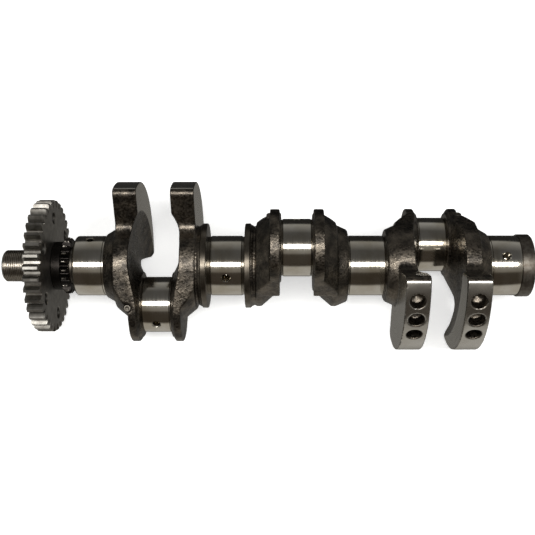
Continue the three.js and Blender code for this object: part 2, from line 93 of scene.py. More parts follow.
# %% Camera
LOOK_AT = Vector((1.7, 0.0, 51.3)) * MM
CAMERA_DISTANCE = 710.8 * MM
CAMERA_AZIMUTH = math.radians(2.04)
CAMERA_ELEVATION = math.radians(63.9)
CAMERA_ROLL = math.radians(-1.87)
FOCAL_IN_WIDTHS = 1.62542056

towards_camera = Vector((
    math.sin(CAMERA_AZIMUTH) * math.cos(CAMERA_ELEVATION),
    -math.cos(CAMERA_AZIMUTH) * math.cos(CAMERA_ELEVATION),
    math.sin(CAMERA_ELEVATION),
))
camera = bpy.data.objects.new("camera", bpy.data.cameras.new("camera"))
camera.data.lens = FOCAL_IN_WIDTHS * camera.data.sensor_width
camera.location = LOOK_AT + towards_camera * CAMERA_DISTANCE
aim = (-towards_camera).to_track_quat("-Z", "Y").to_matrix().to_4x4()
camera.matrix_world = Matrix.Translation(camera.location) @ aim @ Matrix.Rotation(CAMERA_ROLL, 4, "Z")
bpy.context.collection.objects.link(camera)
bpy.context.scene.camera = camera
print(f"lens {camera.data.lens:.1f} mm")

# %% [markdown]
# ## The studio
#
# Polished steel has no colour of its own to show: it shows the room. So the room is described by what lies in
# each direction round the shaft. Behind it the room is dark, then a pale back wall rises and fades upwards.
# One long softbox hangs just above the camera and draws the bright strip along every journal. The front wall
# is dim, and the pale paper on the bench comes in from the front and below. The floor itself is kept out of
# the reflections, because the tones of the room already say what it looks like from the shaft. It glows a
# little, as a light table does, so that it stays white.

# %% Floor, room and lights
scene = bpy.context.scene
scene.view_settings.view_transform = "Standard"


def linear(value):
    """An sRGB hex colour such as 0xA09C95, as linear red, green, blue and alpha."""
    channels = [((value >> shift) & 255) / 255 for shift in (16, 8, 0)]
    curve = [c / 12.92 if c <= 0.04045 else ((c + 0.055) / 1.055) ** 2.4 for c in channels]
    return (*curve, 1.0)


def add_node(tree, kind, inputs, **settings):
    """Adds a node: settings are its own properties, inputs are links or plain values by name or number."""
    node = tree.nodes.new(kind)
    for name, value in settings.items():
        setattr(node, name, value)
    for socket, value in inputs.items():
        if isinstance(value, bpy.types.NodeSocket):
            tree.links.new(value, node.inputs[socket])
        else:
            node.inputs[socket].default_value = value
    return node


def new_material(name):
    """An empty node material, its tree and its object coordinates."""
    material = bpy.data.materials.new(name)
    material.use_nodes = True
    tree = material.node_tree
    tree.nodes.clear()
    coordinates = add_node(tree, "ShaderNodeTexCoord", {})
    return material, tree, coordinates.outputs["Object"]


def surface(tree, inputs):
    """Ends a material with one Principled shader."""
    shader = add_node(tree, "ShaderNodeBsdfPrincipled", inputs)
    add_node(tree, "ShaderNodeOutputMaterial", {"Surface": shader.outputs["BSDF"]})
    return shader


FLOOR_SIZE = 1.3
floor_mesh = bmesh.new()
bmesh.ops.create_grid(floor_mesh, x_segments=1, y_segments=1, size=FLOOR_SIZE / 2)
floor_data = bpy.data.meshes.new("floor")
floor_mesh.to_mesh(floor_data)
floor_mesh.free()
floor = bpy.data.objects.new("floor", floor_data)
bpy.context.collection.objects.link(floor)
paper, paper_tree, _ = new_material("white_paper")
surface(paper_tree, {
    "Base Color": linear(0xF6F6F4),
    "Roughness": 0.9,
    "Specular IOR Level": 0.1,
    "Emission Color": linear(0xFFFFFF),
    "Emission Strength": 0.5,
})
floor_data.materials.append(paper)
floor.visible_glossy = False

# %% [markdown]
# ## The room round the shaft
#
# A journal is a mirror bent round X, so each height on it shows one direction across the shaft, and the room
# is written as tones by angle about X, from +Y towards +Z: an angle, red, green and blue. The two end walls
# are pale, so that the gear and the flange have something to show from the ends.

# %% Room tones
ROOM_STRENGTH = 0.66
END_WALL = (0.42, 0.42, 0.41, 1.0)
END_WALL_FROM = 0.5  # share of X in a direction where the end wall starts, and where it is all there is
END_WALL_TO = 0.85
ROOM = [
    (-180, 0.10, 0.085, 0.07),
    (-166, 0.09, 0.075, 0.06),
    (-157, 0.80, 0.78, 0.74),
    (-100, 0.80, 0.78, 0.74),
    (-84, 0.32, 0.31, 0.29),
    (-54, 0.30, 0.29, 0.27),
    (-42, 0.04, 0.04, 0.04),
    (6, 0.04, 0.04, 0.04),
    (14, 0.58, 0.58, 0.57),
    (57, 0.15, 0.15, 0.15),
    (100, 0.15, 0.15, 0.15),
    (119, 0.42, 0.41, 0.39),
    (139, 0.40, 0.38, 0.35),
    (146, 0.10, 0.085, 0.07),
    (180, 0.10, 0.085, 0.07),
]

world = bpy.data.worlds.new("studio")
scene.world = world
world.use_nodes = True
room = world.node_tree
sight = add_node(room, "ShaderNodeTexCoord", {})
split = add_node(room, "ShaderNodeSeparateXYZ", {"Vector": sight.outputs["Generated"]})
around = add_node(
    room, "ShaderNodeMath", {0: split.outputs["Z"], 1: split.outputs["Y"]}, operation="ARCTAN2"
)
share = add_node(
    room,
    "ShaderNodeMapRange",
    {"Value": around.outputs["Value"], "From Min": -math.pi, "From Max": math.pi},
)
tones = add_node(room, "ShaderNodeValToRGB", {"Fac": share.outputs["Result"]})
for angle, *color in ROOM[1:-1]:
    tones.color_ramp.elements.new((angle + 180) / 360).color = (*color, 1.0)
tones.color_ramp.elements[0].color = (*ROOM[0][1:], 1.0)
tones.color_ramp.elements[-1].color = (*ROOM[-1][1:], 1.0)
endwards = add_node(room, "ShaderNodeMath", {0: split.outputs["X"]}, operation="ABSOLUTE")
end_share = add_node(
    room,
    "ShaderNodeMapRange",
    {"Value": endwards.outputs["Value"], "From Min": END_WALL_FROM, "From Max": END_WALL_TO},
)
walls = add_node(
    room,
    "ShaderNodeMix",
    {0: end_share.outputs["Result"], 6: tones.outputs["Color"], 7: END_WALL},
    data_type="RGBA",
)
room.links.new(walls.outputs[2], room.nodes["Background"].inputs["Color"])
room.nodes["Background"].inputs["Strength"].default_value = ROOM_STRENGTH
print(len(tones.color_ramp.elements), "tones round the room")

STRIP_ANGLE = math.radians(112)  # about X from +Y, like the throws
STRIP_DISTANCE = 0.95

strip = bpy.data.lights.new("strip_light", "AREA")
strip.shape = "RECTANGLE"
strip.size = 1.5
strip.size_y = 0.20
strip.energy = 13.0
lamp = bpy.data.objects.new("strip_light", strip)
out = Vector((0.0, math.cos(STRIP_ANGLE), math.sin(STRIP_ANGLE)))
side = Vector((1.0, 0.0, 0.0))
turn = Matrix((side, out.cross(side), out)).transposed().to_4x4()
lamp.matrix_world = Matrix.Translation(AXIS + out * STRIP_DISTANCE) @ turn
bpy.context.collection.objects.link(lamp)

# %% [markdown]
# ## Tools for making pieces
#
# Nearly everything here is turned or bored. A turned piece is a half profile spun round the axis, which is
# how a lathe makes it. Its corners are then bevelled, because a real edge is always broken a little and
# catches the light. Holes are cut with a boolean and a chamfered cutter, as a drill and countersink do. What
# isn't round is an outline that is extruded along the shaft, or a block with broken edges, as keys are.

# %% Turning, cutting and finishing
ORIGIN = Vector((0.0, 0.0, 0.0))
SMOOTH_ANGLE = math.radians(28)
EDGE_ANGLE = math.radians(20)
WELD = 0.0005 * MM
DRILL_POINT = 0.6  # length of a drill's point, in radii


def piece_from(name, mesh, *materials):
    """Turns a bmesh into an object at the origin, with its doubles welded and its normals recalculated."""
    bmesh.ops.remove_doubles(mesh, verts=mesh.verts, dist=WELD)
    bmesh.ops.recalc_face_normals(mesh, faces=mesh.faces)
    data = bpy.data.meshes.new(name)
    mesh.to_mesh(data)
    mesh.free()
    for material in materials:
        data.materials.append(material)
    piece = bpy.data.objects.new(name, data)
    bpy.context.collection.objects.link(piece)
    return piece


def shade(piece):
    """Smooth shading, with the sharp edges kept."""
    piece.data.shade_smooth()
    piece.data.set_sharp_from_angle(angle=SMOOTH_ANGLE)
    return piece


def lathed(points, centre, steps, closed=False, turns=1, advance=0.0):
    """A bmesh turned about a line along X from (x, radius) points, going `advance` along it each step."""
    mesh = bmesh.new()
    verts = [mesh.verts.new((x, centre.y, centre.z + radius)) for x, radius in points]
    ends = verts[1:] + verts[:1] if closed else verts[1:]
    edges = [mesh.edges.new(pair) for pair in zip(verts, ends)]
    bmesh.ops.spin(
        mesh,
        geom=verts + edges,
        cent=(0.0, centre.y, centre.z),
        axis=(1.0, 0.0, 0.0),
        dvec=(advance, 0.0, 0.0),
        angle=2 * math.pi * turns,
        steps=steps,
        use_merge=advance == 0,
    )
    bmesh.ops.remove_doubles(mesh, verts=mesh.verts, dist=WELD)
    return mesh


def spun(profile, centre, steps=128, edge=0.0):
    """A solid turned from a profile that starts and ends on the axis, with its sharp edges broken."""
    mesh = lathed(profile, centre, steps)
    bmesh.ops.recalc_face_normals(mesh, faces=mesh.faces)
    if edge:
        break_edges(mesh, edge)
    return mesh


def chamfered(x0, x1, radius, first, last):
    """The half profile of a disc from x0 to x1 whose two corners are cut off at 45 degrees."""
    way = math.copysign(1.0, x1 - x0)
    profile = [(x0, 0.0), (x0, radius - first), (x0 + way * first, radius)]
    return profile + [(x1 - way * last, radius), (x1, radius - last), (x1, 0.0)]


def break_edges(mesh, width):
    """Rounds the sharp edges of a bmesh."""
    sharp = [edge for edge in mesh.edges if edge.is_manifold and edge.calc_face_angle() > EDGE_ANGLE]
    bmesh.ops.bevel(
        mesh,
        geom=sharp,
        offset=width,
        offset_type="OFFSET",
        segments=2,
        profile=0.5,
        affect="EDGES",
        clamp_overlap=True,
        material=-1,
    )


def drill(name, mouth, inwards, radius, depth, chamfer, steps=40):
    """A cutter shaped like a countersunk drill: its mouth lies at a point and it cuts inwards."""
    outside = 2 * MM
    profile = [
        (-outside, 0.0),
        (-outside, radius + chamfer + outside),
        (0.0, radius + chamfer),
        (chamfer, radius),
        (depth, radius),
        (depth + radius * DRILL_POINT, 0.0),
    ]
    mesh = spun(profile, ORIGIN, steps)
    turn = Vector((1.0, 0.0, 0.0)).rotation_difference(inwards).to_matrix().to_4x4()
    bmesh.ops.transform(mesh, matrix=Matrix.Translation(mouth) @ turn, verts=mesh.verts)
    return piece_from(name, mesh)


def extruded(mesh, faces, depth):
    """Pulls faces out along the shaft into a solid."""
    grown = bmesh.ops.extrude_face_region(mesh, geom=faces)
    moved = [item for item in grown["geom"] if isinstance(item, bmesh.types.BMVert)]
    bmesh.ops.translate(mesh, vec=(depth, 0.0, 0.0), verts=moved)


def block(name, low, high, edge, *materials):
    """A block between two corners, with its edges broken."""
    mesh = bmesh.new()
    place = Matrix.Translation((low + high) / 2) @ Matrix.Diagonal((*(high - low), 1))
    bmesh.ops.create_cube(mesh, size=1.0, matrix=place)
    break_edges(mesh, edge)
    return piece_from(name, mesh, *materials)


def settled(piece):
    """Applies a piece's modifiers."""
    depsgraph = bpy.context.evaluated_depsgraph_get()
    data = bpy.data.meshes.new_from_object(piece.evaluated_get(depsgraph))
    old = piece.data
    piece.modifiers.clear()
    piece.data = data
    bpy.data.meshes.remove(old)
    data.name = piece.name
    return piece


def combine(piece, others, operation):
    """Joins other closed pieces to a piece, or cuts them out of it, and removes them."""
    for other in others:
        modifier = piece.modifiers.new(operation.lower(), "BOOLEAN")
        modifier.operation = operation
        modifier.solver = "EXACT"
        modifier.object = other
    settled(piece)
    for other in others:
        data = other.data
        bpy.data.objects.remove(other)
        bpy.data.meshes.remove(data)
    return piece


def keep(piece, slot, *nodes):
    """Hangs a finished piece on the root body and hides the CAD nodes that it stands for. Its slot, the name
    of its finish, is not used.
    """
    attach(piece, "root")
    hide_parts(*nodes)
    print(piece.name, len(piece.data.polygons), "faces")
    return piece


# %% [markdown]
# ## Ground bearing steel
#
# The journals and pins are hardened forging steel, ground and then lapped with tape. They are nearly
# mirrors, but the grit leaves fine lines round the shaft. Those lines are a noise that changes fast along X
# and slowly across it. Real lapping lines are a few microns apart; they are drawn 0.35 mm apart so that they
# show. A slow brown drift stands for the thin film of oil.

# %% Ground bearing steel
LINE_STRETCH = 0.02  # how much slower the lines change across the shaft than along it
LAP_PITCH = 0.35 * MM
OIL_FILM_SIZE = 22 * MM


def turned_lines(tree, place, pitch):
    """Noise in rings round the shaft: pitch is the distance between lines along X."""
    scaled = add_node(
        tree, "ShaderNodeMapping", {"Vector": place, "Scale": (1.0, LINE_STRETCH, LINE_STRETCH)}
    )
    return add_node(
        tree,
        "ShaderNodeTexNoise",
        {"Vector": scaled.outputs["Vector"], "Scale": 1.0 / pitch, "Detail": 3.0, "Roughness": 0.6},
    ).outputs["Fac"]


def blotches(tree, place, size, detail=4.0, roughness=0.55):
    """Soft patches of about a size."""
    return add_node(
        tree,
        "ShaderNodeTexNoise",
        {"Vector": place, "Scale": 1.0 / size, "Detail": detail, "Roughness": roughness},
    ).outputs["Fac"]


def between(tree, factor, low, high, start=0.0, end=1.0):
    """Maps a factor to a number."""
    return add_node(
        tree,
        "ShaderNodeMapRange",
        {"Value": factor, "From Min": start, "From Max": end, "To Min": low, "To Max": high},
    ).outputs["Result"]


def mixed(tree, factor, first, second):
    """Mixes two colours, which are links or hex values."""
    colors = [c if isinstance(c, bpy.types.NodeSocket) else linear(c) for c in (first, second)]
    return add_node(
        tree,
        "ShaderNodeMix",
        {0: factor, 6: colors[0], 7: colors[1]},
        data_type="RGBA",
    ).outputs[2]


def bumped(tree, height, distance, strength=1.0, normal=None):
    """A bump of a height in metres."""
    inputs = {"Height": height, "Distance": distance, "Strength": strength}
    if normal:
        inputs["Normal"] = normal
    return add_node(tree, "ShaderNodeBump", inputs).outputs["Normal"]


def ground_bearing_steel():
    material, tree, place = new_material("ground_bearing_steel")
    lines = turned_lines(tree, place, LAP_PITCH)
    film = blotches(tree, place, OIL_FILM_SIZE)
    color = mixed(tree, between(tree, film, 0.0, 1.0, 0.35, 0.7), 0xCAC5BB, 0xAEA594)
    surface(tree, {
        "Base Color": color,
        "Metallic": 1.0,
        "Roughness": between(tree, lines, 0.08, 0.18, 0.3, 0.7),
        "Normal": bumped(tree, lines, 0.004 * MM, 0.6),
    })
    return material


GROUND = ground_bearing_steel()

# %% [markdown]
# ## Journals
#
# Each journal is one straight profile with a rolled groove beside each shoulder: the groove takes the place
# of a sharp corner, where a shaft would crack. A cylinder primitive would have no grooves and no broken
# edges, so the profile is drawn and spun. The oil hole is drilled radially and countersunk.

# %% Journals and crankpins
NECK_DEPTH = 0.6 * MM
GROOVE_WIDTHS = {
    "main_journal_1": (0.0, 1.6),
    "main_journal_2": (2.7, 2.7),
    "main_journal_3": (1.5, 1.5),
    "main_journal_4": (1.6, 0.0),
    "crankpin_1": (1.4, 1.4),
    "crankpin_2": (1.4, 1.4),
    "crankpin_3": (1.4, 1.4),
}
FREE_EDGE = 1.6 * MM  # the rounded end of an outer journal
JOURNAL_EDGE = 0.25 * MM
JOURNAL_STEPS = 160
OIL_RADIUS = 2.8 * MM
OIL_DEPTH = 11 * MM
OIL_CHAMFER = 1.0 * MM
OIL_ANGLES = {
    "main_journal_1": 56,
    "main_journal_2": 141,
    "main_journal_3": 236,
    "main_journal_4": 98.5,
    "crankpin_1": 160,
    "crankpin_2": 40,
    "crankpin_3": -80,
}


def direction(angle):
    """A unit vector across the shaft, at an angle in degrees about X from +Y towards +Z."""
    return Vector((0.0, math.cos(math.radians(angle)), math.sin(math.radians(angle))))


def journal(node):
    left, right = (width * MM for width in GROOVE_WIDTHS[node])
    x0, x1 = span(node)
    radius = radius_of(node)
    neck = radius - NECK_DEPTH
    slope = NECK_DEPTH / 2
    profile = [(x0, 0.0)]
    if left:
        profile += [(x0, neck), (x0 + left - slope, neck), (x0 + left, radius)]
    else:
        profile += [(x0, radius - FREE_EDGE), (x0 + FREE_EDGE * 0.4, radius - FREE_EDGE * 0.35)]
        profile.append((x0 + FREE_EDGE, radius))
    if right:
        profile += [(x1 - right, radius), (x1 - right + slope, neck), (x1, neck)]
    else:
        profile += [(x1, radius)]
    profile.append((x1, 0.0))
    centre = middle(node)
    piece = piece_from(node + "_ground", spun(profile, centre, JOURNAL_STEPS, JOURNAL_EDGE), GROUND)
    out = direction(OIL_ANGLES[node])
    mouth = centre + out * radius
    combine(piece, [drill("oil_drill", mouth, -out, OIL_RADIUS, OIL_DEPTH, OIL_CHAMFER)], "DIFFERENCE")
    return keep(shade(piece), "ground_steel", node)


for node in MAINS + PINS:
    journal(node)

# %% [markdown]
# ## Forged and machined steel
#
# The webs are left as the forging press and the shot blaster made them: dark, slightly warm, satin, with
# shallow dents and worn high spots that glint. The counterweights' faces and rims are then turned, so they
# are lighter and carry fine arcs about the shaft's axis. Both are on the same piece of steel, so one material
# holds both, and an attribute painted on the mesh says which one shows. Two materials with a border along
# the faces would give a jagged edge where the real one is soft.

# %% Forged and machined steel
MACHINED = "machined"
FACING_FEED = 0.4 * MM
DENT_SIZE = 1.7 * MM
SCALE_PATCH_SIZE = 9 * MM
WANDER = (0.02, 0.02, 0.02)  # how far the rings of a facing cut are let drift, so that they aren't perfect


def axis_distance(tree, place):
    """Distance from the main bearing axis."""
    centred = add_node(
        tree, "ShaderNodeMapping", {"Vector": place, "Location": -AXIS, "Scale": (0.0, 1.0, 1.0)}
    )
    return add_node(
        tree, "ShaderNodeVectorMath", {0: centred.outputs["Vector"]}, operation="LENGTH"
    ).outputs["Value"]


def turning_arcs(tree, place, feed):
    """Fine rings about the main axis on a faced surface, one feed apart."""
    distance = axis_distance(tree, place)
    rings = add_node(tree, "ShaderNodeCombineXYZ", {"X": distance})
    wander = add_node(tree, "ShaderNodeVectorMath", {0: place, 1: WANDER}, operation="MULTIPLY")
    total = add_node(
        tree,
        "ShaderNodeVectorMath",
        {0: rings.outputs["Vector"], 1: wander.outputs["Vector"]},
        operation="ADD",
    )
    return add_node(
        tree,
        "ShaderNodeTexNoise",
        {"Vector": total.outputs["Vector"], "Scale": 1.0 / feed, "Detail": 2.0, "Roughness": 0.5},
    ).outputs["Fac"]


def forged_and_machined_steel():
    material, tree, place = new_material("forged_and_machined_steel")
    machined = add_node(tree, "ShaderNodeAttribute", {}, attribute_name=MACHINED).outputs["Fac"]
    arcs = turning_arcs(tree, place, FACING_FEED)
    dents = blotches(tree, place, DENT_SIZE, 3.0, 0.6)
    scale_patches = blotches(tree, place, SCALE_PATCH_SIZE, 5.0, 0.6)
    forged = mixed(tree, between(tree, scale_patches, 0.0, 1.0, 0.38, 0.66), 0x3E3A35, 0x6E665B)
    faced = mixed(tree, between(tree, arcs, 0.0, 1.0, 0.3, 0.7), 0xC6C3BC, 0xB2ADA3)
    forged_rough = between(tree, dents, 0.46, 0.2, 0.38, 0.66)
    faced_rough = between(tree, arcs, 0.2, 0.3, 0.3, 0.7)
    rough = add_node(tree, "ShaderNodeMix", {0: machined, 2: forged_rough, 3: faced_rough}).outputs[0]
    dented = bumped(tree, dents, 0.22 * MM, 1.0)
    pitted = bumped(tree, scale_patches, 0.5 * MM, 0.8, dented)
    lined = bumped(tree, arcs, 0.006 * MM, 0.6)
    normal = add_node(
        tree, "ShaderNodeMix", {0: machined, 4: pitted, 5: lined}, data_type="VECTOR"
    ).outputs[1]
    surface(tree, {
        "Base Color": mixed(tree, machined, forged, faced),
        "Metallic": 1.0,
        "Roughness": rough,
        "Normal": normal,
    })
    return material


FORGED = forged_and_machined_steel()

# %% [markdown]
# ## Web outlines
#
# A web is a plate with a round end about the crankpin and another about the main axis. Two pairs of circles
# under one convex hull make exactly that. The counterweight is a wedge of a disc. Its outline is drawn as a
# chain of arcs, with two round outer corners and two hollow fillets at its root, and then extruded.

# %% Web sizes, from the frame
PIN_SHOULDER_HEIGHT = 4 * MM
BOSS_HEIGHT = 5.15 * MM
PIN_X = middle("crankpin_1").x
SLAB_LOW, SLAB_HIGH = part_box("counterweight_2")
WEB_IN = SLAB_LOW[0] - PIN_X
WEB_OUT = SLAB_HIGH[0] - PIN_X
RIM = SLAB_HIGH[1] - AXIS.y
PLAIN_LOW, PLAIN_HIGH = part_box("web_4")
PIN_END = PLAIN_HIGH[2] - AXIS.z - THROW
HUB = AXIS.z - PLAIN_LOW[2]
PIN_HALF = (span("crankpin_1")[1] - span("crankpin_1")[0]) / 2
THRUST_LENGTH = span("thrust_collar_left")[1] - span("thrust_collar_left")[0]
BOSS_END = PIN_X - span("web_1")[0]
PIN_SHOULDER = radius_of("crankpin_1") + PIN_SHOULDER_HEIGHT
MAIN_RADIUS = radius_of("main_journal_1")
THRUST_RADIUS = radius_of("thrust_collar_left")
BOSS = MAIN_RADIUS + BOSS_HEIGHT
print(f"web {WEB_IN / MM:.1f} to {WEB_OUT / MM:.1f} mm, hub {HUB / MM:.1f}, pin end {PIN_END / MM:.1f}")
print(f"boss to {BOSS_END / MM:.1f} mm, radius {BOSS / MM:.2f}")

# %% [markdown]
# ## Shapes for the webs
#
# Four shapes make every web: a round bar, a ring, the hull of some circles, and a plate from an outline. Each
# is made about the main axis at the origin, so that a left web and a right web can be mirror images of it.

# %% Web shapes
RIM_HALF_SPAN = 57
RIM_CORNER = 5 * MM
ROOT_FILLET = 8 * MM
FILLET_START = 4  # degrees of the fillet left off where it touches the hub
PLATE_STEPS = 128
RING_STEPS = 240
FILLET_STEPS = 12
CORNER_STEPS = 10
RIM_STEPS = 90


def bar(name, centre, radius, x0, x1):
    """A round bar along the shaft."""
    mesh = bmesh.new()
    turn = Matrix.Rotation(math.radians(90), 4, "Y")
    place = Matrix.Translation(((x0 + x1) / 2, centre.y, centre.z))
    bmesh.ops.create_cone(
        mesh,
        cap_ends=True,
        segments=PLATE_STEPS,
        radius1=radius,
        radius2=radius,
        depth=abs(x1 - x0),
        matrix=place @ turn,
    )
    return piece_from(name, mesh)


def ring(name, section, centre, kept=None):
    """A ring turned about a line along X, from the (x, radius) corners of its section.

    `kept` is a direction and a distance from the main axis: only what lies beyond that plane stays.
    """
    mesh = lathed(section, centre, RING_STEPS, closed=True)
    if kept:
        towards, distance = kept
        everything = mesh.verts[:] + mesh.edges[:] + mesh.faces[:]
        bmesh.ops.bisect_plane(
            mesh, geom=everything, plane_co=towards * distance, plane_no=-towards, clear_outer=True
        )
        bmesh.ops.holes_fill(mesh, edges=[edge for edge in mesh.edges if edge.is_boundary])
    return piece_from(name, mesh)


def hull(name, circles, x0, x1):
    """A plate across the shaft whose outline is the hull of some circles, as (centre, radius) pairs."""
    mesh = bmesh.new()
    turn = Matrix.Rotation(math.radians(90), 4, "Y")
    for x in (x0, x1):
        for centre, radius in circles:
            place = Matrix.Translation((x, centre.y, centre.z))
            bmesh.ops.create_circle(mesh, segments=PLATE_STEPS, radius=radius, matrix=place @ turn)
    made = bmesh.ops.convex_hull(mesh, input=mesh.verts)
    inside = [item for item in made["geom_interior"] if isinstance(item, bmesh.types.BMVert)]
    bmesh.ops.delete(mesh, geom=inside, context="VERTS")
    bmesh.ops.dissolve_limit(mesh, angle_limit=math.radians(0.5), verts=mesh.verts, edges=mesh.edges)
    return piece_from(name, mesh)


def plate(name, outline, x0, x1):
    """A closed outline across the shaft, extruded between two stations."""
    mesh = bmesh.new()
    face = mesh.faces.new([mesh.verts.new((x0, point.y, point.z)) for point in outline])
    extruded(mesh, [face], x1 - x0)
    return piece_from(name, mesh)


def arc(centre, radius, start, end, steps):
    """Points along an arc across the shaft, between two angles in degrees."""
    angles = [start + (end - start) * step / steps for step in range(steps + 1)]
    return [centre + direction(angle) * radius for angle in angles]


def fan_outline():
    """The wedge of a disc that makes a counterweight, with round corners and hollow fillets at its root."""
    lean = math.degrees(math.asin(ROOT_FILLET / (HUB + ROOT_FILLET)))
    corner_turn = math.degrees(math.asin(RIM_CORNER / (RIM - RIM_CORNER)))
    low, high = -RIM_HALF_SPAN, RIM_HALF_SPAN
    low_fillet = direction(low - lean) * (HUB + ROOT_FILLET)
    high_fillet = direction(high + lean) * (HUB + ROOT_FILLET)
    low_corner = direction(low + corner_turn) * (RIM - RIM_CORNER)
    high_corner = direction(high - corner_turn) * (RIM - RIM_CORNER)
    return [
        ORIGIN,
        *arc(low_fillet, ROOT_FILLET, low - lean + 180 - FILLET_START, low + 90, FILLET_STEPS),
        *arc(low_corner, RIM_CORNER, low - 90, low + corner_turn, CORNER_STEPS),
        *arc(ORIGIN, RIM, low + corner_turn, high - corner_turn, RIM_STEPS)[1:-1],
        *arc(high_corner, RIM_CORNER, high - corner_turn, high + 90, CORNER_STEPS),
        *arc(high_fillet, ROOT_FILLET, high - 90, high + lean - 180 + FILLET_START, FILLET_STEPS),
    ]


# %% [markdown]
# ## Forging the webs
#
# The cuts come next, and all of them are turned. A dish about the main axis leaves a thin tip round the
# crankpin. A trough about the pin runs across the pin side of a counterweighted web. A cone about the main
# axis takes the edge off the heel of a plain one. The shoulders are turned and joined on. A boolean leaves
# knife edges that no forging has. So the joined solid is remeshed into small even squares and smoothed, which
# rounds every edge and fills every inner corner a little, as hot steel does in its die. Last, the forged
# faces are pushed in and out by a tenth of a millimetre or so, and the turned faces aren't.

# %% Forging sizes
TIP_THICKNESS = 7.6 * MM
SCOOP_FOOT_MARGIN = 1.9 * MM
SCOOP_BRINK_MARGIN = 4 * MM
SCOOP_BRINK_DEPTH = 2.6 * MM
SCOOP_FLOOR_MARGIN = 11 * MM
SCOOP_SIDE = 6 * MM
RECESS_DEPTH = 6.8 * MM
RECESS_WIDTH = 50 * MM
RECESS_MARGIN = 0.5 * MM
RECESS_STEPS = 24
HEEL_HEIGHT = 13 * MM
HEEL_LENGTH = 15 * MM
HEEL_SIDE = 10 * MM
BOSS_ROOT_INSET = 2 * MM
BOSS_CHAMFER = 0.9 * MM
BOSS_TUCK = 1.5 * MM  # how far a boss goes on inside its thrust collar
OUTER_BOSS_HEIGHT = 1.65 * MM
OUTER_BOSS_CHAMFER = 0.4 * MM
ROOTED = 3 * MM
CUT_MARGIN = 1.0 * MM
VOXEL = 0.75 * MM
SKIN = 0.22 * MM
SKIN_SIZE = 7 * MM
BALANCE_RADIUS = 5.75 * MM
BALANCE_DEPTH = 9 * MM
BALANCE_CHAMFER = 0.8 * MM
BALANCE_MIDDLE = 153.5
BALANCE_SPACING = 13.9
FACE_TOLERANCE = 0.3 * MM  # how near a machined surface a point has to be to count as part of it
RIM_TOLERANCE = 0.4 * MM
FACING = 0.93  # and the least cosine between its normal and the surface's
POCKET_RADIUS = 3.3 * MM
POCKET_MOUTH = 2.9 * MM
POCKET_DEPTH = 6 * MM
POCKET_CHAMFER = 0.5 * MM

# %% [markdown]
# ## Tools for the forgings
#
# What is machined is marked on each vertex: by a number that the forged steel reads, and by a vertex group
# that keeps the skin's dents off it.

# %% Forging tools
skin_texture = bpy.data.textures.new("forging_skin", "CLOUDS")
skin_texture.noise_scale = SKIN_SIZE
skin_texture.noise_depth = 3


def scoop(along):
    """The dish on the main side, turned about the main axis, on the side of the pin."""
    tip = THROW + PIN_END + CUT_MARGIN
    floor = WEB_IN + TIP_THICKNESS
    section = [
        (WEB_OUT + CUT_MARGIN, HUB + SCOOP_FOOT_MARGIN - 0.8 * CUT_MARGIN),
        (WEB_OUT - SCOOP_BRINK_DEPTH, HUB + SCOOP_BRINK_MARGIN),
        (floor, HUB + SCOOP_FLOOR_MARGIN),
        (floor, tip),
        (WEB_OUT + CUT_MARGIN, tip),
    ]
    return ring("scoop", section, ORIGIN, (along, SCOOP_SIDE))


def trough(pin_centre):
    """The trough on the pin side of a counterweighted web, turned about the pin."""
    inner = PIN_SHOULDER + RECESS_MARGIN
    radius = (RECESS_WIDTH**2 / 4 + RECESS_DEPTH**2) / (2 * RECESS_DEPTH)
    half_turn = math.acos((radius - RECESS_DEPTH - CUT_MARGIN) / radius)
    section = []
    for step in range(RECESS_STEPS + 1):
        turn = half_turn * (2 * step / RECESS_STEPS - 1)
        depth = RECESS_DEPTH - radius + radius * math.cos(turn)
        section.append((WEB_IN + depth, inner + RECESS_WIDTH / 2 + radius * math.sin(turn)))
    return ring("trough", section, pin_centre)


def heel(along):
    """The cone that takes the edge off the heel of a plain web."""
    section = [
        (WEB_IN - CUT_MARGIN, HUB - HEEL_HEIGHT - CUT_MARGIN * HEEL_HEIGHT / HEEL_LENGTH),
        (WEB_IN + HEEL_LENGTH * 1.05, HUB + HEEL_HEIGHT * 0.05),
        (WEB_IN - CUT_MARGIN, HUB + CUT_MARGIN),
    ]
    return ring("heel", section, ORIGIN, (-along, -HEEL_SIDE))


def boss(number):
    """The boss between a web and its main journal, or its thrust collar."""
    root = HUB - BOSS_ROOT_INSET
    if number in (2, 3):
        end = BOSS_END - THRUST_LENGTH
        radius = THRUST_RADIUS - BOSS_CHAMFER
        outline = [(WEB_OUT, root), (end, radius), (end + BOSS_TUCK, radius), (end + BOSS_TUCK, 0.0)]
    elif number in (1, 6):
        radius = MAIN_RADIUS + OUTER_BOSS_HEIGHT
        outline = [(WEB_OUT, root), (BOSS_END - OUTER_BOSS_CHAMFER, radius)]
        outline += [(BOSS_END, radius - OUTER_BOSS_CHAMFER), (BOSS_END, 0.0)]
    else:
        root = HUB
        outline = [(WEB_OUT, root), (BOSS_END - BOSS_CHAMFER, BOSS), (BOSS_END, BOSS - BOSS_CHAMFER)]
        outline.append((BOSS_END, 0.0))
    inside = WEB_OUT - ROOTED
    return piece_from("boss", spun([(inside, 0.0), (inside, root), *outline], ORIGIN))


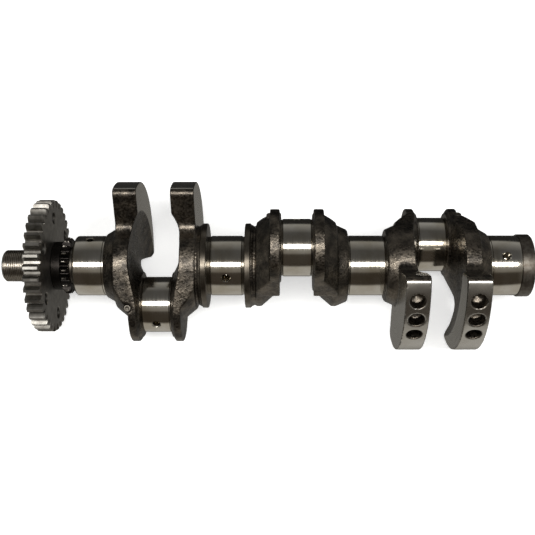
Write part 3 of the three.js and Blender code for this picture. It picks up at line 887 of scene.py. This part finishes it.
def turned_faces(piece, pin_x, side, mirrored):
    """Paints where a forging is machined: on the counterweight's two faces and on its rim."""
    data = piece.data
    group = piece.vertex_groups.new(name="forged")
    values = []
    for vertex in data.vertices:
        offset = (vertex.co.x - pin_x) * side
        across = vertex.co - AXIS
        across.x = 0.0
        distance = across.length
        outwards = across.normalized()
        on_fan = across.y * mirrored > 0.5 * HUB and distance > HUB
        to_face = min(abs(offset - WEB_IN), abs(offset - WEB_OUT))
        flat = to_face < FACE_TOLERANCE and abs(vertex.normal.x) > FACING
        rim = abs(distance - RIM) < RIM_TOLERANCE and vertex.normal.dot(outwards) > FACING
        values.append(1.0 if mirrored and on_fan and (flat or rim) else 0.0)
        if not values[-1]:
            group.add([vertex.index], 1.0, "REPLACE")
    attribute = data.attributes.new(MACHINED, "FLOAT", "POINT")
    attribute.data.foreach_set("value", values)


def forged_web(number, side, pin_node, fan_side, plug_side):
    """One web, with its counterweight if it has one.

    It is made as the first throw's right-hand web, whose counterweight points along +Y, and then mirrored
    to its own place.
    """
    name = f"web_{number}_forging"
    pin_angle = 210 if fan_side else 90
    along = direction(pin_angle)
    pin_centre = along * THROW
    web = hull("web", [(pin_centre, PIN_END), (ORIGIN, HUB)], WEB_IN, WEB_OUT)
    if fan_side:
        combine(web, [plate("fan", fan_outline(), WEB_IN, WEB_OUT)], "UNION")
        combine(web, [scoop(along), trough(pin_centre)], "DIFFERENCE")
    else:
        combine(web, [scoop(along), heel(along)], "DIFFERENCE")
    shoulder = bar("shoulder", pin_centre, PIN_SHOULDER, PIN_HALF, WEB_IN + ROOTED)
    combine(web, [shoulder, boss(number)], "UNION")
    mirrored = fan_side or 1
    pin_x = middle(pin_node).x
    place = Matrix.Translation((pin_x, AXIS.y, AXIS.z)) @ Matrix.Diagonal((side, mirrored, 1, 1))
    mesh = bmesh.new()
    mesh.from_mesh(web.data)
    bmesh.ops.transform(mesh, matrix=place, verts=mesh.verts)
    bpy.data.objects.remove(web)
    web = piece_from(name, mesh, FORGED)
    cutters = []
    if pin_node == "crankpin_3":
        x = pin_x + side * (WEB_IN + WEB_OUT) / 2
        for step in (-1, 0, 1):
            out = direction(BALANCE_MIDDLE + step * BALANCE_SPACING)
            mouth = Vector((x, AXIS.y, AXIS.z)) + out * RIM
            cutters.append(drill("balance", mouth, -out, BALANCE_RADIUS, BALANCE_DEPTH, BALANCE_CHAMFER))
    if plug_side == side:
        cutters.append(plug_pocket(f"oil_plug_{pin_node[-1]}"))
    if cutters:
        combine(web, cutters, "DIFFERENCE")
    remesh = web.modifiers.new("even", "REMESH")
    remesh.mode = "VOXEL"
    remesh.voxel_size = VOXEL
    smooth = web.modifiers.new("soft", "SMOOTH")
    smooth.factor = 0.5
    smooth.iterations = 4
    settled(web)
    turned_faces(web, pin_x, side, fan_side)
    skin = web.modifiers.new("skin", "DISPLACE")
    skin.texture = skin_texture
    skin.texture_coords = "LOCAL"
    skin.strength = SKIN
    skin.mid_level = 0.5
    skin.vertex_group = "forged"
    settled(web)
    web.data.shade_smooth()
    nodes = [f"web_{number}"] + ([f"counterweight_{number}"] if fan_side else [])
    return keep(web, "forged_steel", *nodes)


def plug_pocket(plug):
    """The drilling that an oil-way plug closes."""
    low, high = (Vector(corner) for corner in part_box(plug))
    centre = (low + high) / 2
    outwards = plug_direction(plug)
    mouth = centre + outwards * POCKET_MOUTH
    return drill("pocket", mouth, -outwards, POCKET_RADIUS, POCKET_DEPTH, POCKET_CHAMFER)


def plug_direction(plug):
    """The way a plug faces: at right angles to its throw, on the side away from it."""
    number = int(plug[-1])
    return direction({1: 120, 2: 0, 3: 60}[number])


# %% [markdown]
# ## The six webs
#
# Each call gives the web's number, its side of the pin, the pin, the way its counterweight points along Y (0
# for none) and the side with the oil-way plug. The middle throw has no counterweights.

# %% Forge the six webs
forged_web(1, -1, "crankpin_1", 1, -1)
forged_web(2, 1, "crankpin_1", 1, -1)
forged_web(3, -1, "crankpin_2", 0, -1)
forged_web(4, 1, "crankpin_2", 0, -1)
forged_web(5, -1, "crankpin_3", -1, 1)
forged_web(6, 1, "crankpin_3", -1, 1)

# %% [markdown]
# ## Turned steel that isn't a bearing
#
# The flange, the nose and the thrust collars were turned and then left in the open shop, so they are darker
# than the journals and show the tool's feed as rings. The finish is the same each time with other numbers, so
# one function makes each of them: two colours, a range of roughness and the feed of the tool.

# %% Turned, black and drawn steel
def worked_steel(name, light, dark, smoothest, roughest, feed, grain):
    """Metal with rings round the shaft, a feed apart, and soft patches the size of the grain."""
    material, tree, place = new_material(name)
    rings = turned_lines(tree, place, feed)
    arcs = turning_arcs(tree, place, feed)
    patches = blotches(tree, place, grain, 4.0, 0.6)
    both = add_node(tree, "ShaderNodeMath", {0: rings, 1: arcs}, operation="MULTIPLY").outputs["Value"]
    surface(tree, {
        "Base Color": mixed(tree, between(tree, patches, 0.0, 1.0, 0.35, 0.65), light, dark),
        "Metallic": 1.0,
        "Roughness": between(tree, both, smoothest, roughest, 0.12, 0.4),
        "Normal": bumped(tree, both, 0.012 * MM, 0.7, bumped(tree, patches, 0.05 * MM, 0.3)),
    })
    return material


# Turned and left bare: grey with a brown bloom.
TURNED = worked_steel("dark_turned_steel", 0x6B665E, 0x514A42, 0.34, 0.5, 0.5 * MM, 4 * MM)
# Face-ground for the thrust washers: finer than turned steel, with a brown film of old oil.
THRUST = worked_steel("ground_thrust_steel", 0x6C655B, 0x504A41, 0.26, 0.38, 0.3 * MM, 8 * MM)
# Hobbed and shaved gear steel, satin.
GEAR = worked_steel("shaved_gear_steel", 0x8B8881, 0x6E6A64, 0.32, 0.46, 0.45 * MM, 5 * MM)
# Rolled thread, bright on its crests.
ROLLED = worked_steel("rolled_thread_steel", 0xA8A297, 0x857D72, 0.22, 0.36, 0.4 * MM, 2 * MM)
# Cold-drawn bar, for the key and the plugs.
DRAWN = worked_steel("cold_drawn_steel", 0x6A655D, 0x504B44, 0.34, 0.5, 0.3 * MM, 1.5 * MM)


# Beyond this radius the black oxide is painted light: partly wear rubbed bright on the sprocket's tooth tips,
# partly a painted highlight on those tips.
TIP_WEAR_AND_HIGHLIGHT_RADIUS = 22.4 * MM


def black_oxide_steel(tip_wear_and_highlight_radius):
    """Blacked steel that is painted light further out than a radius: the tips of chain teeth are rubbed
    bright there, and the same light colour also stands in for a painted highlight on them.
    """
    material, tree, place = new_material("black_oxide_steel")
    distance = axis_distance(tree, place)
    patches = blotches(tree, place, 1.8 * MM, 4.0, 0.65)
    reach = between(tree, patches, tip_wear_and_highlight_radius - 0.9 * MM, tip_wear_and_highlight_radius + 0.9 * MM, 0.3, 0.7)
    beyond = add_node(tree, "ShaderNodeMath", {0: distance, 1: reach}, operation="SUBTRACT")
    # The light tips are wear and a painted highlight together.
    tip_wear_and_highlight = between(tree, beyond.outputs["Value"], 0.0, 1.0, 0.0, 0.5 * MM)
    surface(tree, {
        "Base Color": mixed(tree, tip_wear_and_highlight, 0x2A2725, 0x9C968C),
        "Metallic": 1.0,
        "Roughness": between(tree, patches, 0.3, 0.46, 0.3, 0.7),
        "Normal": bumped(tree, patches, 0.04 * MM, 0.6),
    })
    return material


BLACK = black_oxide_steel(TIP_WEAR_AND_HIGHLIGHT_RADIUS)

# %% [markdown]
# ## Thrust collars and output flange
#
# Both are steps of the same bar, so both are profiles spun round the axis. The flange gets a centre drilling,
# where the lathe held the shaft, and six blind holes round it for the output's screws.

# %% Thrust collars and output flange
BAR_STEPS = 160
BAR_EDGE = 0.12 * MM
COLLAR_EDGE = 0.9 * MM
FLANGE_EDGE = 0.9 * MM
FLANGE_BACK_EDGE = 0.3 * MM
BOLT_CIRCLE_RADIUS = 17 * MM
BOLT_RADIUS = 3.4 * MM
BOLT_DEPTH = 6 * MM
BOLT_CHAMFER = 0.5 * MM
CENTRE_RADIUS = 4 * MM
CENTRE_CHAMFER = 1.2 * MM
LEFTWARDS = Vector((-1.0, 0.0, 0.0))


def thrust_collar(node, outwards):
    """A collar whose ground face looks along `outwards` (1 is +X)."""
    x0, x1 = span(node)
    back, face = (x0, x1) if outwards > 0 else (x1, x0)
    profile = chamfered(back, face, THRUST_RADIUS, COLLAR_EDGE, COLLAR_EDGE / 2)
    piece = piece_from(node + "_turned", spun(profile, AXIS, BAR_STEPS, BAR_EDGE), THRUST)
    return keep(shade(piece), "machined_steel", node)


thrust_collar("thrust_collar_left", 1)
thrust_collar("thrust_collar_right", -1)


def output_flange():
    x0, x1 = span("output_flange")
    profile = chamfered(x0, x1, radius_of("output_flange"), FLANGE_BACK_EDGE, FLANGE_EDGE)
    piece = piece_from("output_flange_turned", spun(profile, AXIS, BAR_STEPS, BAR_EDGE), TURNED)
    mouth = Vector((x1, AXIS.y, AXIS.z))
    drills = [drill("centre", mouth, LEFTWARDS, CENTRE_RADIUS, BOLT_DEPTH, CENTRE_CHAMFER)]
    for step in range(6):
        place = mouth + direction(60 * step) * BOLT_CIRCLE_RADIUS
        drills.append(drill("bolt", place, LEFTWARDS, BOLT_RADIUS, BOLT_DEPTH, BOLT_CHAMFER))
    combine(piece, drills, "DIFFERENCE")
    return keep(shade(piece), "black_steel", "output_flange")


output_flange()

# %% [markdown]
# ## Drive gear
#
# A gear is drawn one tooth at a time. Each flank is an involute, the curve that the end of a taut string
# draws when it is unwound from the base circle, because that is what a hob cuts. The tooth is repeated round
# the axis, the closed outline is filled and extruded, and the edges are broken. The bore, the keyway and six
# lightening holes are cut last.

# %% Drive gear
GEAR_TEETH = 37
GEAR_MODULE = 2.75 * MM
PRESSURE_ANGLE = math.radians(20)
GEAR_PHASE = 98.7
GEAR_PITCH = GEAR_TEETH * GEAR_MODULE / 2
GEAR_HOLE_CIRCLE = GEAR_PITCH - 11.575 * MM
GEAR_HOLE_RADIUS = 4.6 * MM
GEAR_HOLE_PHASE = 37
GEAR_HOLE_CHAMFER = 0.6 * MM
GEAR_ROOT_ROUND = 0.35 * MM
GEAR_TIP_CLEARANCE = 0.02 * MM
GEAR_EDGE = 0.9 * MM
FLANK_POINTS = 8
TOOTH_WELD = 0.002 * MM
SEAT_RADIUS = radius_of("nose_seat")
FIT_GAP = 0.3 * MM
BORE_CHAMFER = 0.4 * MM
BORE_MARGIN = 1 * MM
KEYWAY_EDGE = 0.3 * MM


def involute(angle):
    return math.tan(angle) - angle


def gear_tooth():
    """Half outline of one tooth, as (radius, angle in radians from its middle), from root to tip."""
    base = GEAR_PITCH * math.cos(PRESSURE_ANGLE)
    tip = GEAR_PITCH + GEAR_MODULE
    root = GEAR_PITCH - 1.25 * GEAR_MODULE
    points = [(root, math.pi / GEAR_TEETH)]
    at_base = math.pi / (2 * GEAR_TEETH) + involute(PRESSURE_ANGLE)
    points.append((root, at_base + GEAR_ROOT_ROUND / root))
    for step in range(FLANK_POINTS):
        radius = base + (tip - base) * step / (FLANK_POINTS - 1)
        points.append((radius, at_base - involute(math.acos(base / radius))))
    return points


def toothed(name, half, teeth, phase, x0, x1):
    """A toothed disc from half a tooth, repeated round the axis and extruded along the shaft."""
    mesh = bmesh.new()
    whole = [(radius, -turn) for radius, turn in half] + [(radius, turn) for radius, turn in half[::-1]]
    start = math.radians(phase)
    verts = [
        mesh.verts.new((x0, AXIS.y + r * math.cos(start + turn), AXIS.z + r * math.sin(start + turn)))
        for r, turn in whole
    ]
    edges = [mesh.edges.new(pair) for pair in zip(verts, verts[1:])]
    bmesh.ops.spin(
        mesh,
        geom=verts + edges,
        cent=AXIS,
        axis=(1.0, 0.0, 0.0),
        angle=2 * math.pi,
        steps=teeth,
        use_duplicate=True,
    )
    bmesh.ops.remove_doubles(mesh, verts=mesh.verts, dist=TOOTH_WELD)
    bmesh.ops.contextual_create(mesh, geom=mesh.edges)
    extruded(mesh, mesh.faces[:], x1 - x0)
    return piece_from(name, mesh)


def turned_blank(name, x0, x1, radius, edge):
    """A disc with broken edges, to trim the ends of teeth to."""
    return piece_from(name, spun(chamfered(x0, x1, radius, edge, edge), AXIS, 192))


def bore_and_keyway(x0, x1):
    """Cutters for the hole on the shaft's nose, with chamfered mouths, and for the keyway above it."""
    radius = SEAT_RADIUS + FIT_GAP
    wide = radius + BORE_CHAMFER + BORE_MARGIN
    profile = [
        (x0 - BORE_MARGIN, 0.0),
        (x0 - BORE_MARGIN, wide),
        (x0 + BORE_CHAMFER, radius),
        (x1 - BORE_CHAMFER, radius),
        (x1 + BORE_MARGIN, wide),
        (x1 + BORE_MARGIN, 0.0),
    ]
    key_low, key_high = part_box("drive_key")
    low = Vector((x0 - BORE_MARGIN, key_low[1] - FIT_GAP, AXIS.z))
    high = Vector((x1 + BORE_MARGIN, key_high[1] + FIT_GAP, key_high[2] + FIT_GAP))
    return [piece_from("bore", spun(profile, AXIS)), block("keyway", low, high, KEYWAY_EDGE)]


def drive_gear():
    x0, x1 = span("drive_gear")
    piece = toothed("drive_gear_cut", gear_tooth(), GEAR_TEETH, GEAR_PHASE, x0, x1)
    blank = turned_blank("blank", x0, x1, GEAR_PITCH + GEAR_MODULE + GEAR_TIP_CLEARANCE, GEAR_EDGE)
    combine(piece, [blank], "INTERSECT")
    cutters = bore_and_keyway(x0, x1)
    for step in range(6):
        place = AXIS + direction(GEAR_HOLE_PHASE + 60 * step) * GEAR_HOLE_CIRCLE
        for x, inwards in ((x1, LEFTWARDS), (x0, -LEFTWARDS)):
            mouth = Vector((x, place.y, place.z))
            half = (x1 - x0) / 2
            cutters.append(drill("hole", mouth, inwards, GEAR_HOLE_RADIUS, half, GEAR_HOLE_CHAMFER))
    combine(piece, cutters, "DIFFERENCE")
    piece.data.materials.append(GEAR)
    return keep(shade(piece), "gear_steel", "drive_gear")


drive_gear()

# %% [markdown]
# ## Chain sprocket and spacer collar
#
# A sprocket's tooth is a rounded hump and its gap is a round seat for the chain's roller, so the outline is a
# smooth wave, not straight flanks. Its tips are thinned on both sides, so that the chain slips on: the wave
# is trimmed to a turned blank with deep bevels. The collar between it and the gear is a turned ring.

# %% Sprocket and collar
SPROCKET_TEETH = 20
SPROCKET_ROOT = 18.7 * MM
SPROCKET_EDGE = 1.9 * MM
SPACER_EDGE = 0.6 * MM
WAVE_STEPS = 9
CREST_POWER = 1.15  # narrows the crest of the wave a little
CREST_HALF = 0.06  # half of the flat on a tooth's tip, as a share of half a tooth


def sprocket_tooth():
    """Half a tooth: a wave with a slightly narrowed crest."""
    tip = radius_of("timing_sprocket")
    half = math.pi / SPROCKET_TEETH
    points = []
    for step in range(WAVE_STEPS + 1):
        share = step / WAVE_STEPS
        height = (0.5 - 0.5 * math.cos(math.pi * share)) ** CREST_POWER
        points.append((SPROCKET_ROOT + (tip - SPROCKET_ROOT) * height, half * (1 - share)))
    return points[:-1] + [(points[-1][0], half * CREST_HALF)]


def timing_sprocket():
    x0, x1 = span("timing_sprocket")
    piece = toothed("timing_sprocket_cut", sprocket_tooth(), SPROCKET_TEETH, 0, x0, x1)
    blank = turned_blank("blank", x0, x1, radius_of("timing_sprocket"), SPROCKET_EDGE)
    combine(piece, [blank], "INTERSECT")
    combine(piece, bore_and_keyway(x0, x1), "DIFFERENCE")
    piece.data.materials.append(BLACK)
    return keep(shade(piece), "black_steel", "timing_sprocket")


def spacer_collar():
    x0, x1 = span("spacer_collar")
    piece = turned_blank("spacer_collar_turned", x0, x1, radius_of("spacer_collar"), SPACER_EDGE)
    combine(piece, bore_and_keyway(x0, x1), "DIFFERENCE")
    piece.data.materials.append(BLACK)
    return keep(shade(piece), "black_steel", "spacer_collar")


timing_sprocket()
spacer_collar()

# %% [markdown]
# ## Nose: seat, thread and key
#
# The seat is ground and has a milled slot for the key. The thread is a real one. A ridge with a flat crest is
# swept round and along the shaft at once, one pitch per turn, then trimmed to a chamfered blank and joined to
# its core, as a rolled thread is raised from a turned blank.

# %% Nose seat, thread and key
THREAD_PITCH = 1.5 * MM
THREAD_DEPTH = 0.9 * MM
THREAD_RELIEF = 2.4 * MM
THREAD_RELIEF_DEPTH = 1.2 * MM
THREAD_CHAMFER = 1.8 * MM
CREST_CLEARANCE = 0.01 * MM
CREST_HALF_WIDTH = 0.10 * MM
RIDGE_HALF_WIDTH = 0.70 * MM
RIDGE_ROOTED = 0.4 * MM  # how deep a ridge goes into the core, so that the two join
SEAT_EDGE = 0.5 * MM
SEAT_BEVEL = 0.1 * MM
SLOT_EDGE = 0.25 * MM
KEY_EDGE = 0.35 * MM
THREAD_STEPS = 48
TRIM_STEPS = 90  # not a multiple of the thread's steps, so that no two edges fall together


def nose_seat():
    x0, x1 = span("nose_seat")
    profile = [
        (x0, 0.0),
        (x0, SEAT_RADIUS - SEAT_EDGE),
        (x0 + SEAT_EDGE, SEAT_RADIUS),
        (x1, SEAT_RADIUS),
        (x1, 0.0),
    ]
    piece = piece_from("nose_seat_turned", spun(profile, AXIS, edge=SEAT_BEVEL), TURNED)
    low, high = (Vector(corner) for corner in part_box("drive_key"))
    gap = Vector((FIT_GAP, FIT_GAP, FIT_GAP))
    combine(piece, [block("key_slot", low - gap, high + gap, SLOT_EDGE)], "DIFFERENCE")
    return keep(shade(piece), "machined_steel", "nose_seat")


def thread_ridge(x0, x1, outer):
    """A closed helical ridge that runs a little past both ends of the thread."""
    foot = outer - THREAD_DEPTH - RIDGE_ROOTED
    section = [
        (-RIDGE_HALF_WIDTH, foot),
        (-CREST_HALF_WIDTH, outer),
        (CREST_HALF_WIDTH, outer),
        (RIDGE_HALF_WIDTH, foot),
    ]
    section = [(x0 - THREAD_PITCH + x, radius) for x, radius in section]
    turns = math.ceil((x1 - x0) / THREAD_PITCH) + 2
    mesh = lathed(section, AXIS, THREAD_STEPS * turns, True, turns, THREAD_PITCH / THREAD_STEPS)
    bmesh.ops.holes_fill(mesh, edges=[edge for edge in mesh.edges if edge.is_boundary])
    return piece_from("ridge", mesh)


def nose_thread():
    x0, x1 = span("nose_thread")
    outer = radius_of("nose_thread")
    run_out = x1 - THREAD_RELIEF
    root = outer - THREAD_DEPTH
    relief = outer - THREAD_RELIEF_DEPTH
    core_profile = [
        (x0, 0.0),
        (x0, outer - THREAD_CHAMFER),
        (x0 + THREAD_CHAMFER - THREAD_DEPTH, root),
        (run_out, root),
        (run_out + 0.3 * MM, relief),
        (x1, relief),
        (x1, 0.0),
    ]
    piece = piece_from("nose_thread_rolled", spun(core_profile, AXIS, THREAD_STEPS * 2))
    trim_profile = [
        (x0, 0.0),
        (x0, outer - THREAD_CHAMFER),
        (x0 + THREAD_CHAMFER, outer + CREST_CLEARANCE),
        (run_out - 0.5 * MM, outer + CREST_CLEARANCE),
        (run_out + 0.2 * MM, root),
        (run_out + 0.2 * MM, 0.0),
    ]
    ridge = thread_ridge(x0, x1, outer)
    combine(ridge, [piece_from("trim", spun(trim_profile, AXIS, TRIM_STEPS))], "INTERSECT")
    combine(piece, [ridge], "UNION")
    piece.data.materials.clear()
    piece.data.materials.append(ROLLED)
    return keep(shade(piece), "thread_steel", "nose_thread")


def drive_key():
    low, high = (Vector(corner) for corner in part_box("drive_key"))
    return keep(shade(block("drive_key_drawn", low, high, KEY_EDGE, DRAWN)), "plug_steel", "drive_key")


nose_seat()
nose_thread()
drive_key()

# %% [markdown]
# ## Oil-way plugs
#
# The oil ways inside a throw are drilled from its flank, and a steel plug is pressed in to close each one. A
# plug has a shallow dimple where the punch spread it.

# %% Oil plugs
PLUG_RADIUS = 3 * MM
PLUG_HALF = 2.5 * MM
PLUG_BACK_EDGE = 0.4 * MM
PLUG_FACE_EDGE = 0.5 * MM
DIMPLE_DEPTH = 0.5 * MM
DIMPLE_RADIUS = 1.5 * MM
DIMPLE_FLOOR_RADIUS = 0.9 * MM
PLUG_BEVEL = 0.1 * MM


def oil_plug(node):
    low, high = (Vector(corner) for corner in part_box(node))
    outwards = plug_direction(node)
    profile = [
        (-PLUG_HALF, 0.0),
        (-PLUG_HALF, PLUG_RADIUS - PLUG_BACK_EDGE),
        (-PLUG_HALF + PLUG_BACK_EDGE, PLUG_RADIUS),
        (PLUG_HALF - PLUG_FACE_EDGE, PLUG_RADIUS),
        (PLUG_HALF, PLUG_RADIUS - PLUG_FACE_EDGE),
        (PLUG_HALF, DIMPLE_RADIUS),
        (PLUG_HALF - DIMPLE_DEPTH, DIMPLE_FLOOR_RADIUS),
        (PLUG_HALF - DIMPLE_DEPTH, 0.0),
    ]
    mesh = spun(profile, ORIGIN, 64, PLUG_BEVEL)
    turn = Vector((1.0, 0.0, 0.0)).rotation_difference(outwards).to_matrix().to_4x4()
    bmesh.ops.transform(mesh, matrix=Matrix.Translation((low + high) / 2) @ turn, verts=mesh.verts)
    return keep(shade(piece_from(node + "_pressed", mesh, DRAWN)), "plug_steel", node)


for number in (1, 2, 3):
    oil_plug(f"oil_plug_{number}")
